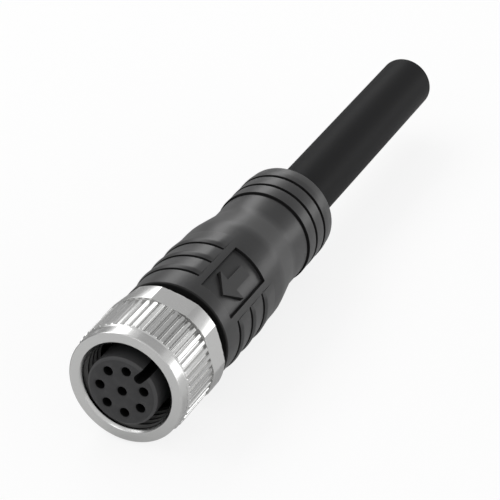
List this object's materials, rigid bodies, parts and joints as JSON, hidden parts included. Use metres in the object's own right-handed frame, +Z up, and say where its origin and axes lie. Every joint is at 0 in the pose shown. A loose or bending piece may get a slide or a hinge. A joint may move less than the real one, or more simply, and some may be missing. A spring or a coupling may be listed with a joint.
{
  "type": "m12 connector",
  "caption": "Straight circular cable socket with a knurled threaded coupling nut, a keyed contact insert, a ridged overmoulded grip and a short stub of round cable.",
  "frame": {"origin": "on the connector's axis, in the plane of the coupling nut's front face", "axes": "+Y along the axis from the mating end to the cable, +Z up as it lies on its side, +X to the right seen from the mating end"},
  "size_m": [0.0148, 0.0852, 0.0148],
  "materials": {
    "nut": "nickel plated",
    "carrier": "moulded",
    "seal": "moulded",
    "inner_mould": "moulded",
    "grip": "satin, moulded",
    "jacket": "extruded",
    "contact": "gold plated",
    "conductor": "bare copper",
    "wire_white": "extruded",
    "wire_brown": "extruded",
    "wire_green": "extruded",
    "wire_yellow": "extruded",
    "wire_grey": "extruded",
    "wire_pink": "extruded",
    "wire_blue": "extruded",
    "wire_red": "extruded"
  },
  "bodies": {
    "connector": {"contact_carrier": "carrier", "sealing_ring": "seal", "inner_mould": "inner_mould", "overmould": "grip", "cable_jacket": "jacket", "socket_contact_1": "contact", "socket_contact_2": "contact", "socket_contact_3": "contact", "socket_contact_4": "contact", "socket_contact_5": "contact", "socket_contact_6": "contact", "socket_contact_7": "contact", "socket_contact_8": "contact", "conductor_1": "conductor", "conductor_2": "conductor", "conductor_3": "conductor", "conductor_4": "conductor", "conductor_5": "conductor", "conductor_6": "conductor", "conductor_7": "conductor", "conductor_8": "conductor", "wire_insulation_1": "wire_white", "wire_insulation_2": "wire_brown", "wire_insulation_3": "wire_green", "wire_insulation_4": "wire_yellow", "wire_insulation_5": "wire_grey", "wire_insulation_6": "wire_pink", "wire_insulation_7": "wire_blue", "wire_insulation_8": "wire_red"},
    "nut": {"coupling_nut": "nut"}
  },
  "joints": [
    {"name": "nut_spin", "type": "hinge", "parent": "connector", "child": "nut", "pos_m": [0, 0.0095, 0], "axis": [0, 1, 0], "continuous": true}
  ]
}
